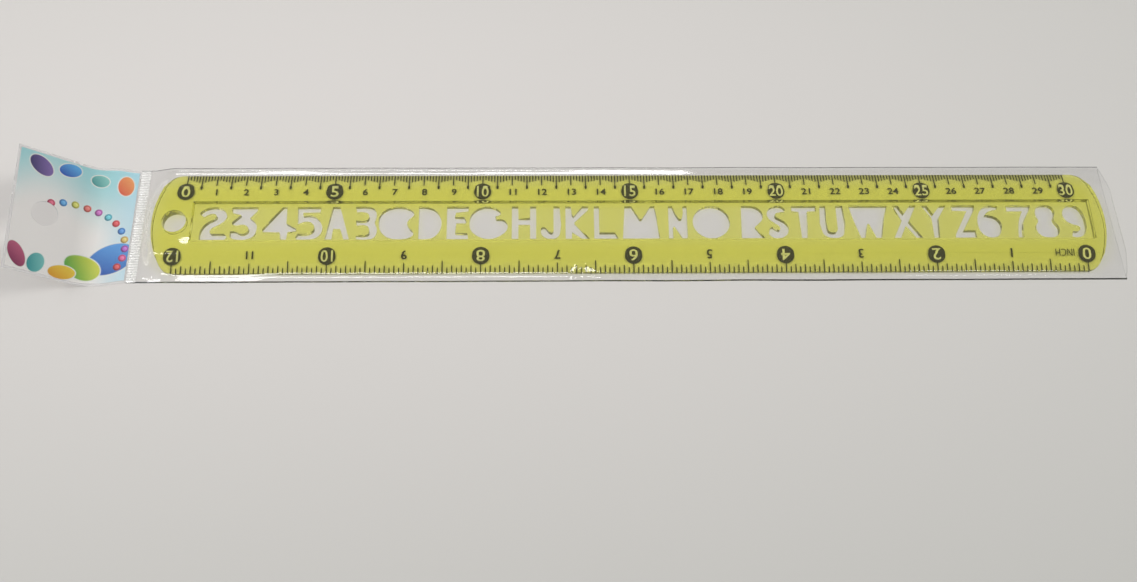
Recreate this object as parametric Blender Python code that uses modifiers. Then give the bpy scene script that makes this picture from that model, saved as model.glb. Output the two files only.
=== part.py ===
"""Flexible 30 cm / 12 inch stencil ruler in its clear retail sleeve.

Metres, +Z up. X runs along the ruler with the centimetre zero at the left,
Y across it with the centimetre edge at the rear, and Z = 0 is the table.
"""

import math

import bmesh
import bpy
from mathutils import Matrix

# Scales
millimetre = 0.001
millimetres_per_centimetre = 10
centimetres = 30
inch = 0.0254
ticks_per_inch = 16
inches = 12
centimetre = millimetre * millimetres_per_centimetre

# Blade
scale_start_margin = 0.0095
scale_end_margin = 0.0105
blade_width = 0.0366
blade_thickness = 0.0036
edge_thickness = 0.0012
edge_bevel_width = 0.0060
end_arc_radius = 0.033
end_corner_radius = 0.005
hang_hole_diameter = 0.0080
hang_hole_inset = 0.0073
recess_width = 0.0145
recess_start_margin = 0.0131
recess_end_margin = 0.0044
recess_floor = 0.0016

# Stencil row
stencil_height = 0.0122
stencil_start_margin = 0.0019
stencil_end_margin = 0.0014

# Scale print
ink_thickness = 0.00005
tick_width = 0.00034
tick_tip_width = 0.00022
edge_line_width = 0.00022
millimetre_tick_short = 0.0020
millimetre_tick_step = 0.00033
half_centimetre_tick = 0.0044
half_centimetre_dot = 0.0008
centimetre_tick = 0.0042
sixteenth_tick = 0.0021
eighth_tick = 0.0032
half_inch_tick = 0.0049
inch_tick = 0.0041
badge_diameter = 0.0058
badge_inset = 0.0065
badge_every_centimetres = 5
badge_every_inches = 2

# Sleeve
film_thickness = 0.00010
print_gap = 0.00005
slide_clearance = 0.00015
crest_clearance = 0.00085
sleeve_side_room = 0.00305
sleeve_offset = 0.0006
seam_width = 0.0011
seam_gap = 0.00005
panel_gap = 0.00005
mouth_overhang = 0.0030
ramp_length = 0.0035
crimp_length = 0.0032
crimp_span = 0.0418
flare_length = 0.0090
crimp_rib_pitch = 0.00095
crimp_rib_height = 0.00018
crimp_web = 0.00012
crimp_gap = 0.00010

# Header
header_length = 0.0388
header_width = 0.0440
header_flat_length = 0.0110
header_bend_radius = 0.0110
header_rise_degrees = 40
header_end_skew = 0.0018
header_layer_gap = 0.00005
header_print_inset = 0.0010
header_hinge_gap = 0.00005
header_hole_diameter = 0.0085
header_hole_inset = 0.0098

# Cutting and facets
cut_overrun = 0.001
weld_distance = 0.000001
end_segments = 10
corner_segments = 6
round_segments = 40
badge_segments = 20
dot_segments = 6
flat_segments = 4
bend_segments = 8
flare_segments = 4
letter_resolution = 3

# Places worked out from the sizes above
blade_length = centimetres * centimetre + scale_start_margin + scale_end_margin
blade_left = -blade_length / 2
blade_right = blade_length / 2
blade_edge = blade_width / 2
blade_underside = film_thickness + slide_clearance
blade_top = blade_underside + blade_thickness
bevel_line = blade_edge - edge_bevel_width
recess_left = blade_left + recess_start_margin
recess_right = blade_right - recess_end_margin
stencil_left = recess_left + stencil_start_margin
stencil_length = recess_right - stencil_end_margin - stencil_left
hang_hole_x = blade_left + hang_hole_inset
centimetre_zero_x = blade_left + scale_start_margin
inch_zero_x = inches * inch / 2
ink_z = blade_underside - print_gap - ink_thickness / 2

sleeve_width = blade_width + 2 * sleeve_side_room
arch_start_x = blade_left - slide_clearance
crimp_right_x = arch_start_x - ramp_length
crimp_left_x = crimp_right_x - crimp_length
mouth_x = blade_right + mouth_overhang
front_film_z = film_thickness + seam_gap
top_panel_z = blade_top + crest_clearance
film_start_x = crimp_right_x + crimp_gap
flare_end_x = crimp_right_x + flare_length
shoulder_y = bevel_line + slide_clearance
knee_y = blade_edge + 2 * slide_clearance
knee_z = blade_underside + edge_thickness + slide_clearance
hinge_x = crimp_left_x - crimp_gap
header_root_x = hinge_x - header_hinge_gap
header_rise = math.radians(header_rise_degrees)
header_front_z = film_thickness + ink_thickness + 2 * header_layer_gap
hinge_z = header_front_z + film_thickness
joint_places = {
    "sleeve_slide": (mouth_x, 0, blade_top),
    "header_fold": (hinge_x, 0, hinge_z),
}

# Stencil letters: each has the gap before it and its width as shares of the
# stencil row, then its outline as shares of its own width and height. C marks
# a corner of the outline and R a point that the outline rounds.
C = "VECTOR"
R = "AUTO"

letter_shares = {
    "two": (0.0000, 0.0326, (
        (0.00, 0.80, C), (0.07, 0.87, R), (0.24, 0.96, R), (0.52, 1.00, R), (0.77, 0.94, R),
        (0.92, 0.79, R), (0.94, 0.67, R), (0.85, 0.55, R), (0.62, 0.42, R), (0.46, 0.34, R),
        (0.41, 0.23, R), (0.46, 0.18, C), (0.91, 0.18, C), (1.00, 0.08, R), (0.94, 0.00, C),
        (0.08, 0.00, C), (0.07, 0.19, R), (0.12, 0.34, R), (0.23, 0.47, R), (0.38, 0.57, R),
        (0.54, 0.64, R), (0.60, 0.71, R), (0.55, 0.78, R), (0.40, 0.79, R), (0.17, 0.69, C))),
    "three": (0.0030, 0.0293, (
        (0.00, 1.00, C), (1.00, 1.00, C), (0.98, 0.88, C), (0.72, 0.65, C), (0.88, 0.56, R),
        (0.99, 0.44, R), (1.00, 0.29, R), (0.91, 0.11, R), (0.65, 0.01, R), (0.36, 0.00, R),
        (0.13, 0.03, R), (0.01, 0.11, C), (0.01, 0.25, C), (0.16, 0.26, R), (0.41, 0.18, R),
        (0.61, 0.21, R), (0.70, 0.33, R), (0.62, 0.42, R), (0.44, 0.46, R), (0.22, 0.43, R),
        (0.06, 0.47, C), (0.05, 0.53, C), (0.37, 0.76, C), (0.06, 0.81, C), (0.00, 0.88, C))),
    "four": (0.0061, 0.0380, (
        (0.56, 1.00, C), (0.69, 1.00, C), (0.70, 0.49, C), (1.00, 0.33, C), (0.99, 0.26, C),
        (0.75, 0.22, C), (0.73, 0.00, C), (0.56, 0.00, C), (0.52, 0.22, C), (0.03, 0.23, C),
        (0.00, 0.32, C))),
    "five": (-0.0004, 0.0293, (
        (0.01, 1.00, C), (0.91, 1.00, C), (0.88, 0.83, C), (0.23, 0.82, C), (0.24, 0.73, C),
        (0.54, 0.74, R), (0.79, 0.64, R), (0.95, 0.47, R), (1.00, 0.32, R), (0.92, 0.14, R),
        (0.72, 0.03, R), (0.43, 0.00, R), (0.03, 0.00, C), (0.00, 0.09, C), (0.08, 0.18, C),
        (0.43, 0.18, R), (0.64, 0.26, R), (0.69, 0.39, R), (0.58, 0.51, R), (0.32, 0.54, R),
        (0.06, 0.46, C))),
    "a": (0.0030, 0.0273, (
        (0.27, 1.00, C), (0.56, 1.00, C), (1.00, 0.00, C), (0.78, 0.00, C), (0.62, 0.32, C),
        (0.33, 0.32, C), (0.29, 0.00, C), (0.00, 0.00, C))),
    "b": (0.0054, 0.0247, (
        (0.00, 1.00, C), (0.62, 1.00, R), (0.86, 0.93, R), (0.96, 0.80, R), (0.96, 0.64, R),
        (0.90, 0.51, R), (0.99, 0.36, R), (1.00, 0.19, R), (0.89, 0.05, R), (0.65, 0.00, R),
        (0.11, 0.00, C), (0.05, 0.14, C), (0.45, 0.13, R), (0.63, 0.17, R), (0.66, 0.30, R),
        (0.57, 0.41, R), (0.09, 0.42, C), (0.05, 0.58, C), (0.47, 0.57, R), (0.62, 0.64, R),
        (0.62, 0.75, R), (0.49, 0.82, R), (0.08, 0.83, C))),
    "c": (0.0019, 0.0393, (
        (0.00, 0.50, R), (0.03, 0.72, R), (0.11, 0.84, R), (0.24, 0.93, R), (0.41, 0.99, R),
        (0.62, 1.00, R), (0.79, 0.96, R), (0.92, 0.89, R), (1.00, 0.78, R), (0.98, 0.71, R),
        (0.87, 0.61, R), (0.81, 0.49, R), (0.87, 0.34, R), (0.99, 0.21, R), (0.99, 0.13, R),
        (0.91, 0.06, R), (0.76, 0.01, R), (0.51, 0.00, R), (0.30, 0.04, R), (0.15, 0.14, R),
        (0.05, 0.28, R))),
    "d": (0.0053, 0.0256, (
        (0.00, 1.00, C), (0.23, 1.00, R), (0.58, 0.94, R), (0.83, 0.81, R), (0.97, 0.61, R),
        (1.00, 0.43, R), (0.91, 0.23, R), (0.70, 0.07, R), (0.38, 0.00, R), (0.01, 0.00, C))),
    "e": (0.0058, 0.0243, (
        (0.00, 1.00, C), (1.00, 1.00, C), (0.99, 0.85, C), (0.42, 0.81, C), (0.37, 0.68, C),
        (0.81, 0.67, C), (0.91, 0.52, C), (0.86, 0.48, C), (0.44, 0.48, C), (0.40, 0.19, C),
        (0.96, 0.18, C), (1.00, 0.00, C), (0.01, 0.00, C))),
    "g": (0.0013, 0.0426, (
        (0.00, 0.43, R), (0.02, 0.68, R), (0.13, 0.86, R), (0.28, 0.96, R), (0.45, 1.00, R),
        (0.64, 0.96, R), (0.77, 0.88, R), (0.82, 0.80, R), (0.77, 0.72, R), (0.68, 0.68, R),
        (0.70, 0.61, C), (0.86, 0.60, R), (0.96, 0.52, R), (1.00, 0.39, R), (0.96, 0.24, R),
        (0.84, 0.12, R), (0.68, 0.03, R), (0.49, 0.00, R), (0.31, 0.04, R), (0.13, 0.15, R),
        (0.03, 0.28, R))),
    "h": (0.0047, 0.0273, (
        (0.00, 1.00, C), (0.26, 1.00, C), (0.27, 0.64, C), (0.75, 0.64, C), (0.75, 1.00, C),
        (1.00, 1.00, C), (1.00, 0.00, C), (0.75, 0.00, C), (0.75, 0.43, C), (0.27, 0.43, C),
        (0.27, 0.00, C), (0.00, 0.00, C))),
    "j": (0.0053, 0.0210, (
        (0.68, 1.00, C), (1.00, 1.00, C), (1.00, 0.14, R), (0.83, 0.03, R), (0.49, 0.00, R),
        (0.17, 0.05, R), (0.00, 0.18, R), (0.00, 0.32, C), (0.16, 0.36, R), (0.32, 0.29, R),
        (0.48, 0.20, R), (0.63, 0.20, R), (0.68, 0.25, C))),
    "k": (0.0067, 0.0270, (
        (0.00, 1.00, C), (0.24, 1.00, C), (0.26, 0.76, C), (0.33, 0.68, C), (0.71, 1.00, C),
        (0.95, 1.00, C), (0.94, 0.88, C), (0.37, 0.50, C), (1.00, 0.00, C), (0.67, 0.00, C),
        (0.27, 0.20, C), (0.25, 0.00, C), (0.00, 0.00, C))),
    "l": (0.0050, 0.0273, (
        (0.00, 1.00, C), (0.22, 1.00, C), (0.22, 0.19, C), (0.85, 0.19, C), (1.00, 0.00, C),
        (0.00, 0.00, C))),
    "m": (0.0047, 0.0416, (
        (0.07, 1.00, C), (0.25, 1.00, C), (0.46, 0.61, C), (0.50, 0.59, R), (0.54, 0.62, C),
        (0.77, 1.00, C), (0.88, 1.00, C), (0.94, 0.58, C), (1.00, 0.00, C), (0.00, 0.00, C))),
    "n": (0.0100, 0.0217, (
        (0.03, 1.00, C), (0.23, 1.00, C), (0.52, 0.64, R), (0.65, 0.59, R), (0.75, 0.68, R),
        (0.78, 1.00, C), (1.00, 1.00, C), (0.98, 0.00, C), (0.71, 0.00, C), (0.32, 0.36, C),
        (0.23, 0.34, C), (0.23, 0.00, C), (0.00, 0.00, C))),
    "o": (0.0059, 0.0420, (
        (0.00, 0.50, R), (0.07, 0.75, R), (0.25, 0.93, R), (0.50, 1.00, R), (0.75, 0.93, R),
        (0.93, 0.75, R), (1.00, 0.50, R), (0.93, 0.25, R), (0.75, 0.07, R), (0.50, 0.00, R),
        (0.25, 0.07, R), (0.07, 0.25, R))),
    "r": (0.0123, 0.0263, (
        (0.05, 1.00, C), (0.46, 1.00, R), (0.77, 0.93, R), (0.95, 0.78, R), (0.96, 0.62, R),
        (0.82, 0.48, R), (0.61, 0.36, C), (1.00, 0.00, C), (0.00, 0.00, C))),
    "s": (0.0040, 0.0233, (
        (0.90, 0.81, C), (0.88, 0.90, R), (0.75, 0.98, R), (0.54, 1.00, R), (0.26, 0.96, R),
        (0.04, 0.85, R), (0.00, 0.72, R), (0.10, 0.58, R), (0.40, 0.44, R), (0.58, 0.34, R),
        (0.58, 0.26, R), (0.49, 0.25, R), (0.34, 0.30, R), (0.20, 0.34, R), (0.07, 0.28, C),
        (0.03, 0.12, C), (0.21, 0.02, R), (0.54, 0.00, R), (0.83, 0.07, R), (0.98, 0.20, R),
        (1.00, 0.36, R), (0.88, 0.48, R), (0.63, 0.58, R), (0.40, 0.68, R), (0.41, 0.75, R),
        (0.57, 0.79, R))),
    "t": (0.0051, 0.0280, (
        (0.00, 1.00, C), (1.00, 1.00, C), (1.00, 0.83, C), (0.63, 0.82, C), (0.57, 0.00, C),
        (0.32, 0.00, C), (0.28, 0.81, C), (0.00, 0.83, C))),
    "u": (0.0043, 0.0260, (
        (0.00, 1.00, C), (0.26, 1.00, C), (0.26, 0.29, R), (0.33, 0.20, R), (0.50, 0.17, R),
        (0.65, 0.20, R), (0.70, 0.28, C), (0.70, 1.00, C), (1.00, 1.00, C), (0.99, 0.18, R),
        (0.85, 0.05, R), (0.51, 0.00, R), (0.18, 0.05, R), (0.02, 0.17, R))),
    "w": (0.0069, 0.0443, (
        (0.00, 1.00, C), (1.00, 1.00, C), (0.88, 0.58, C), (0.77, 0.00, C), (0.63, 0.00, C),
        (0.48, 0.43, C), (0.44, 0.43, C), (0.35, 0.00, C), (0.24, 0.00, C), (0.08, 0.59, C))),
    "x": (0.0040, 0.0323, (
        (0.07, 1.00, C), (0.25, 1.00, C), (0.44, 0.74, C), (0.68, 1.00, C), (0.89, 1.00, C),
        (0.59, 0.52, C), (1.00, 0.00, C), (0.77, 0.00, C), (0.45, 0.37, C), (0.23, 0.00, C),
        (0.00, 0.00, C), (0.33, 0.52, C))),
    "y": (0.0024, 0.0286, (
        (0.00, 1.00, C), (0.23, 1.00, C), (0.45, 0.72, C), (0.77, 1.00, C), (1.00, 1.00, C),
        (0.64, 0.60, C), (0.59, 0.00, C), (0.37, 0.00, C), (0.36, 0.60, C))),
    "z": (0.0060, 0.0266, (
        (0.01, 1.00, C), (1.00, 1.00, C), (0.97, 0.86, C), (0.40, 0.22, C), (0.92, 0.22, C),
        (0.92, 0.00, C), (0.00, 0.00, C), (0.04, 0.11, C), (0.64, 0.82, C), (0.02, 0.83, C))),
    "six": (0.0011, 0.0270, (
        (0.95, 0.98, C), (0.89, 0.86, C), (0.69, 0.84, R), (0.48, 0.79, R), (0.35, 0.70, C),
        (0.53, 0.68, R), (0.77, 0.63, R), (0.94, 0.52, R), (1.00, 0.37, R), (0.95, 0.20, R),
        (0.79, 0.05, R), (0.53, 0.00, R), (0.26, 0.05, R), (0.07, 0.18, R), (0.00, 0.38, R),
        (0.02, 0.59, R), (0.14, 0.80, R), (0.37, 0.95, R), (0.67, 1.00, R))),
    "seven": (0.0080, 0.0280, (
        (0.00, 1.00, C), (1.00, 1.00, C), (0.98, 0.90, C), (0.80, 0.69, R), (0.64, 0.47, R),
        (0.57, 0.25, R), (0.55, 0.00, C), (0.32, 0.00, C), (0.37, 0.28, R), (0.46, 0.55, R),
        (0.64, 0.81, C), (0.01, 0.81, C))),
    "eight": (0.0033, 0.0256, (
        (0.51, 1.00, R), (0.77, 0.97, R), (0.91, 0.86, R), (0.91, 0.72, R), (0.83, 0.59, R),
        (0.86, 0.48, R), (0.99, 0.35, R), (1.00, 0.19, R), (0.86, 0.05, R), (0.51, 0.00, R),
        (0.17, 0.05, R), (0.00, 0.19, R), (0.00, 0.36, R), (0.12, 0.50, R), (0.07, 0.63, R),
        (0.05, 0.78, R), (0.18, 0.94, R))),
    "nine": (0.0070, 0.0250, (
        (0.43, 1.00, R), (0.17, 0.93, R), (0.01, 0.79, R), (0.00, 0.64, R), (0.12, 0.50, R),
        (0.37, 0.40, R), (0.64, 0.34, R), (0.69, 0.27, R), (0.60, 0.20, R), (0.32, 0.20, C),
        (0.25, 0.02, C), (0.49, 0.00, R), (0.76, 0.06, R), (0.95, 0.23, R), (1.00, 0.46, R),
        (0.96, 0.69, R), (0.83, 0.88, R), (0.64, 0.98, R))),
}

# Colours and finishes: base colour, roughness, alpha
finishes = {
    "blade": ((0.66, 0.67, 0.10), 0.25, 0.75),
    "ink": ((0.02, 0.02, 0.02), 0.50, 1.0),
    "film": ((0.90, 0.92, 0.93), 0.08, 0.25),
    "crimp": ((0.88, 0.90, 0.90), 0.20, 0.60),
    "header_print": ((0.55, 0.74, 0.78), 0.40, 1.0),
}


def clear_scene():
    """Empty the scene and give it one collection for the parts and one for the cutters."""
    for item in list(bpy.data.objects):
        bpy.data.objects.remove(item, do_unlink=True)
    for name in ("flexible_ruler", "cutters"):
        collection = bpy.data.collections.new(name)
        bpy.context.scene.collection.children.link(collection)


def ride(item, joint):
    """Hang an object on a joint's empty without moving it."""
    item.parent = bpy.data.objects[joint]
    item.matrix_parent_inverse = Matrix.Translation(joint_places[joint]).inverted()


def add_joints():
    """Empties on the joint axes; the header's fold travels with the sleeve."""
    for name, place in joint_places.items():
        joint = bpy.data.objects.new(name, None)
        joint.location = place
        joint.empty_display_size = centimetre
        bpy.context.scene.collection.objects.link(joint)
    ride(bpy.data.objects["header_fold"], "sleeve_slide")


def material(name, finish):
    """A Principled material from the table of finishes."""
    colour, roughness, alpha = finishes[finish]
    made = bpy.data.materials.new(name)
    made.use_nodes = True
    shader = made.node_tree.nodes["Principled BSDF"]
    shader.inputs["Base Color"].default_value = (*colour, 1.0)
    shader.inputs["Roughness"].default_value = roughness
    shader.inputs["Metallic"].default_value = 0.0
    shader.inputs["Alpha"].default_value = alpha
    return made


def add_part(name, mesh, finish):
    """Link a mesh as one part of the ruler."""
    part = bpy.data.objects.new(name, mesh)
    bpy.data.collections["flexible_ruler"].objects.link(part)
    part.data.materials.append(material(name, finish))
    return part


def add_cutter(name, mesh):
    """Link a mesh as a cutter that never renders."""
    cutter = bpy.data.objects.new(name, mesh)
    bpy.data.collections["cutters"].objects.link(cutter)
    cutter.hide_render = True
    cutter.display_type = "WIRE"
    return cutter


def cut(part, cutter, operation="DIFFERENCE"):
    """Cut a part with an exact Boolean."""
    boolean = part.modifiers.new(cutter.name, "BOOLEAN")
    boolean.operation = operation
    boolean.solver = "EXACT"
    boolean.object = cutter


def weld(mesh):
    """Close a mesh at its doubled vertices and drop the points inside straight runs."""
    shape = bmesh.new()
    shape.from_mesh(mesh)
    bmesh.ops.remove_doubles(shape, verts=shape.verts, dist=weld_distance)
    bmesh.ops.dissolve_limit(
        shape, angle_limit=math.radians(0.5), verts=shape.verts, edges=shape.edges)
    bmesh.ops.recalc_face_normals(shape, faces=shape.faces)
    shape.to_mesh(mesh)
    shape.free()
    return mesh


def extruded_mesh(name, outlines, bottom, top):
    """Closed mesh of flat outlines, each a list of x, y and handle type, from bottom to top."""
    curve = bpy.data.curves.new(name, "CURVE")
    curve.dimensions = "2D"
    curve.fill_mode = "BOTH"
    curve.extrude = (top - bottom) / 2
    for outline in outlines:
        rounded = any(kind == R for _, _, kind in outline)
        spline = curve.splines.new("BEZIER" if rounded else "POLY")
        spline.use_cyclic_u = True
        if rounded:
            spline.resolution_u = letter_resolution
            spline.bezier_points.add(len(outline) - 1)
            for point, (x, y, kind) in zip(spline.bezier_points, outline):
                point.co = (x, y, 0)
                point.handle_left_type = kind
                point.handle_right_type = kind
        else:
            spline.points.add(len(outline) - 1)
            for point, (x, y, _) in zip(spline.points, outline):
                point.co = (x, y, 0, 1)
    holder = bpy.data.objects.new(name, curve)
    bpy.context.scene.collection.objects.link(holder)
    bpy.context.view_layer.update()
    seen = holder.evaluated_get(bpy.context.evaluated_depsgraph_get())
    mesh = weld(bpy.data.meshes.new_from_object(seen))
    bpy.data.objects.remove(holder, do_unlink=True)
    mesh.transform(Matrix.Translation((0, 0, (bottom + top) / 2)))
    mesh.name = name
    return mesh


def along_ruler(mesh):
    """Turn a section drawn in Y and Z so that its extrusion runs along X."""
    mesh.transform(Matrix(((0, 0, 1, 0), (1, 0, 0, 0), (0, 1, 0, 0), (0, 0, 0, 1))))
    return mesh


def arc(centre_x, centre_y, radius, start, end, segments):
    """Points along an arc from start to end, both in degrees."""
    points = []
    for step in range(segments + 1):
        angle = math.radians(start + (end - start) * step / segments)
        points.append((centre_x + radius * math.cos(angle), centre_y + radius * math.sin(angle), C))
    return points


def box_mesh(name, low, high):
    """Closed box between two corners."""
    size = [top - bottom for bottom, top in zip(low, high)]
    centre = [(top + bottom) / 2 for bottom, top in zip(low, high)]
    shape = bmesh.new()
    bmesh.ops.create_cube(
        shape, size=1.0, matrix=Matrix.Translation(centre) @ Matrix.Diagonal((*size, 1.0)))
    mesh = bpy.data.meshes.new(name)
    shape.to_mesh(mesh)
    shape.free()
    return mesh


def round_cutter(name, diameter, height, placing):
    """Cylinder that drills a round hole."""
    shape = bmesh.new()
    bmesh.ops.create_cone(
        shape, cap_ends=True, segments=round_segments, radius1=diameter / 2,
        radius2=diameter / 2, depth=height, matrix=placing)
    mesh = bpy.data.meshes.new(name)
    shape.to_mesh(mesh)
    shape.free()
    return add_cutter(name, mesh)


def film_sheet(name, rows, thickness, finish):
    """Film whose underside runs through rows of points, each row across the ruler."""
    shape = bmesh.new()
    grid = [[shape.verts.new(point) for point in row] for row in rows]
    for near, far in zip(grid, grid[1:]):
        for column in range(len(near) - 1):
            shape.faces.new((near[column], far[column], far[column + 1], near[column + 1]))
    mesh = bpy.data.meshes.new(name)
    shape.to_mesh(mesh)
    shape.free()
    sheet = add_part(name, mesh, finish)
    solidify = sheet.modifiers.new("film", "SOLIDIFY")
    solidify.thickness = thickness
    solidify.offset = 1.0
    solidify.use_even_offset = True
    return sheet


def blade_plan():
    """Outline of the blade from above: straight long edges and arched ends."""
    corner_y = blade_edge - end_corner_radius
    reach = math.sqrt((end_arc_radius - end_corner_radius) ** 2 - corner_y ** 2)
    meeting = math.degrees(math.atan2(corner_y, reach))
    arc_x = blade_right - end_arc_radius
    corner_x = arc_x + reach
    right_end = arc(corner_x, -corner_y, end_corner_radius, -90, -meeting, corner_segments)
    right_end += arc(arc_x, 0, end_arc_radius, -meeting, meeting, end_segments)[1:-1]
    right_end += arc(corner_x, corner_y, end_corner_radius, meeting, 90, corner_segments)
    left_end = [(-x, y, kind) for x, y, kind in reversed(right_end)]
    return right_end + left_end


def blade_section():
    """Section of the blade: flat underside, thin long edges and a bevel to the full thickness."""
    edge_z = blade_underside + edge_thickness
    right_side = [(blade_edge, blade_underside, C), (blade_edge, edge_z, C), (bevel_line, blade_top, C)]
    return right_side + [(-y, z, kind) for y, z, kind in reversed(right_side)]


def stencil_outlines():
    """Outlines of the letters and figures, set out along the stencil row."""
    shares = sum(gap_share + width_share for gap_share, width_share, _ in letter_shares.values())
    outlines = []
    end = stencil_left
    for gap_share, width_share, points in letter_shares.values():
        start = end + gap_share / shares * stencil_length
        width = width_share / shares * stencil_length
        outlines.append([
            (start + x * width, (y - 0.5) * stencil_height, kind) for x, y, kind in points])
        end = start + width
    return outlines


def make_blade():
    """Bevelled blade with its recess, hang hole and stencil letters."""
    section = extruded_mesh("blade", [blade_section()], blade_left, blade_right)
    blade = add_part("blade", along_ruler(section), "blade")
    below = blade_underside - cut_overrun
    above = blade_top + cut_overrun
    cut(blade, add_cutter("blade_plan", extruded_mesh("blade_plan", [blade_plan()], below, above)),
        "INTERSECT")
    floor_z = blade_underside + recess_floor
    cut(blade, add_cutter("recess", box_mesh(
        "recess", (recess_left, -recess_width / 2, floor_z),
        (recess_right, recess_width / 2, above))))
    cut(blade, round_cutter(
        "hang_hole", hang_hole_diameter, blade_thickness + 2 * cut_overrun,
        Matrix.Translation((hang_hole_x, 0, (blade_underside + blade_top) / 2))))
    cut(blade, add_cutter(
        "stencil_letters", extruded_mesh("stencil_letters", stencil_outlines(), below, above)))


def tick(x, edge_y, inward, length, round_end=0.0):
    """Outline of one tick from the edge line inward, with a round end where one is given."""
    root_y = edge_y + inward * edge_line_width
    tip_y = edge_y + inward * length
    left = (x - tick_width / 2, root_y, C)
    right = (x + tick_width / 2, root_y, C)
    if not round_end:
        tip = [(x - tick_tip_width / 2, tip_y, C), (x + tick_tip_width / 2, tip_y, C)]
        return [left, *tip, right]
    opening = math.degrees(math.asin(tick_tip_width / round_end))
    segments = badge_segments if round_end == badge_diameter else dot_segments
    ring = arc(0, 0, round_end / 2, 90 + opening, 450 - opening, segments)
    return [left, *[(x + px, tip_y - inward * py, C) for px, py, _ in ring], right]


def scale_comb(name, edge_y, inward, teeth):
    """Print of one scale: its ticks joined by a fine line along the blade's edge."""
    first_x = teeth[0][0][0]
    last_x = teeth[-1][-1][0]
    outline = [point for tooth in teeth for point in tooth]
    outline += [(last_x, edge_y, C), (first_x, edge_y, C)]
    bottom = ink_z - ink_thickness / 2
    add_part(name, extruded_mesh(name, [outline], bottom, bottom + ink_thickness), "ink")


def make_centimetre_scale():
    """Centimetre print: graded millimetre ticks, dotted half centimetres, badge every five."""
    teeth = []
    for count in range(centimetres * millimetres_per_centimetre + 1):
        x = centimetre_zero_x + count * millimetre
        place = count % millimetres_per_centimetre
        from_centimetre = min(place, millimetres_per_centimetre - place)
        if count % (millimetres_per_centimetre * badge_every_centimetres) == 0:
            teeth.append(tick(x, blade_edge, -1, badge_inset, badge_diameter))
        elif place == 0:
            teeth.append(tick(x, blade_edge, -1, centimetre_tick))
        elif 2 * place == millimetres_per_centimetre:
            teeth.append(tick(x, blade_edge, -1, half_centimetre_tick, half_centimetre_dot))
        else:
            length = millimetre_tick_short + (from_centimetre - 1) * millimetre_tick_step
            teeth.append(tick(x, blade_edge, -1, length))
    scale_comb("centimetre_scale_print", blade_edge, -1, teeth)


def make_inch_scale():
    """Inch print, read from the other side: sixteenths, with a badge every second inch."""
    teeth = []
    for count in reversed(range(inches * ticks_per_inch + 1)):
        x = inch_zero_x - count * inch / ticks_per_inch
        if count % (ticks_per_inch * badge_every_inches) == 0:
            teeth.append(tick(x, -blade_edge, 1, badge_inset, badge_diameter))
        elif count % ticks_per_inch == 0:
            teeth.append(tick(x, -blade_edge, 1, inch_tick))
        elif 2 * count % ticks_per_inch == 0:
            teeth.append(tick(x, -blade_edge, 1, half_inch_tick))
        elif count % 2 == 0:
            teeth.append(tick(x, -blade_edge, 1, eighth_tick))
        else:
            teeth.append(tick(x, -blade_edge, 1, sixteenth_tick))
    scale_comb("inch_scale_print", -blade_edge, 1, teeth)


def flared(narrow, wide, share):
    """Width between a narrow and a wide one, eased at both ends of the flare."""
    eased = (1 - math.cos(math.pi * min(share, 1.0))) / 2
    return narrow + (wide - narrow) * eased


def sleeve_edges(x):
    """Front and rear edges of the sleeve at a place along it, drawn in at the crimp."""
    share = (x - crimp_right_x) / flare_length
    half = flared(crimp_span, sleeve_width, share) / 2
    centre = flared(0, sleeve_offset, share)
    return centre - half, centre + half


def flare_stations():
    """Places along the sleeve where its width is drawn in towards the crimp."""
    return [film_start_x + (flare_end_x - film_start_x) * step / flare_segments
            for step in range(flare_segments + 1)]


def make_back_film():
    """Clear film under the blade, drawn in at the crimp."""
    front_side = [(x, sleeve_edges(x)[0], C) for x in [*flare_stations(), mouth_x]]
    rear_side = [(x, sleeve_edges(x)[1], C) for x in [*flare_stations(), mouth_x]]
    back_film = extruded_mesh(
        "sleeve_back_film", [front_side + rear_side[::-1]], 0, film_thickness)
    ride(add_part("sleeve_back_film", back_film, "film"), "sleeve_slide")


def add_panel(name, rows):
    """One panel of the upper film, carried by the sleeve."""
    ride(film_sheet(name, rows, film_thickness, "film"), "sleeve_slide")


def make_upper_panels():
    """Upper film in its folded panels: over the blade, down each side and down to the crimp."""
    add_panel("sleeve_top_panel", [
        [(x, y, top_panel_z) for y in (-shoulder_y, shoulder_y)] for x in (arch_start_x, mouth_x)])

    side_x = [arch_start_x, *(x for x in flare_stations() if x > arch_start_x), mouth_x]
    for name, side in (("sleeve_front_side_panel", -1), ("sleeve_rear_side_panel", 1)):
        rows = []
        for x in side_x:
            edge = max(sleeve_edges(x), key=lambda y: side * y)
            outward = [
                (x, side * (shoulder_y + panel_gap), top_panel_z), (x, side * knee_y, knee_z),
                (x, edge - side * seam_width, front_film_z), (x, edge, front_film_z)]
            rows.append(outward[::side])
        add_panel(name, rows)

    rows = []
    for x, middle_z, bend_z in (
            (film_start_x, front_film_z, front_film_z),
            (arch_start_x - panel_gap, top_panel_z, knee_z)):
        front, rear = sleeve_edges(x)
        rows.append([
            (x, front, front_film_z), (x, front + seam_width, front_film_z), (x, -knee_y, bend_z),
            (x, -shoulder_y, middle_z), (x, shoulder_y, middle_z), (x, knee_y, bend_z),
            (x, rear - seam_width, front_film_z), (x, rear, front_film_z)])
    add_panel("sleeve_end_panel", rows)


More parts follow.
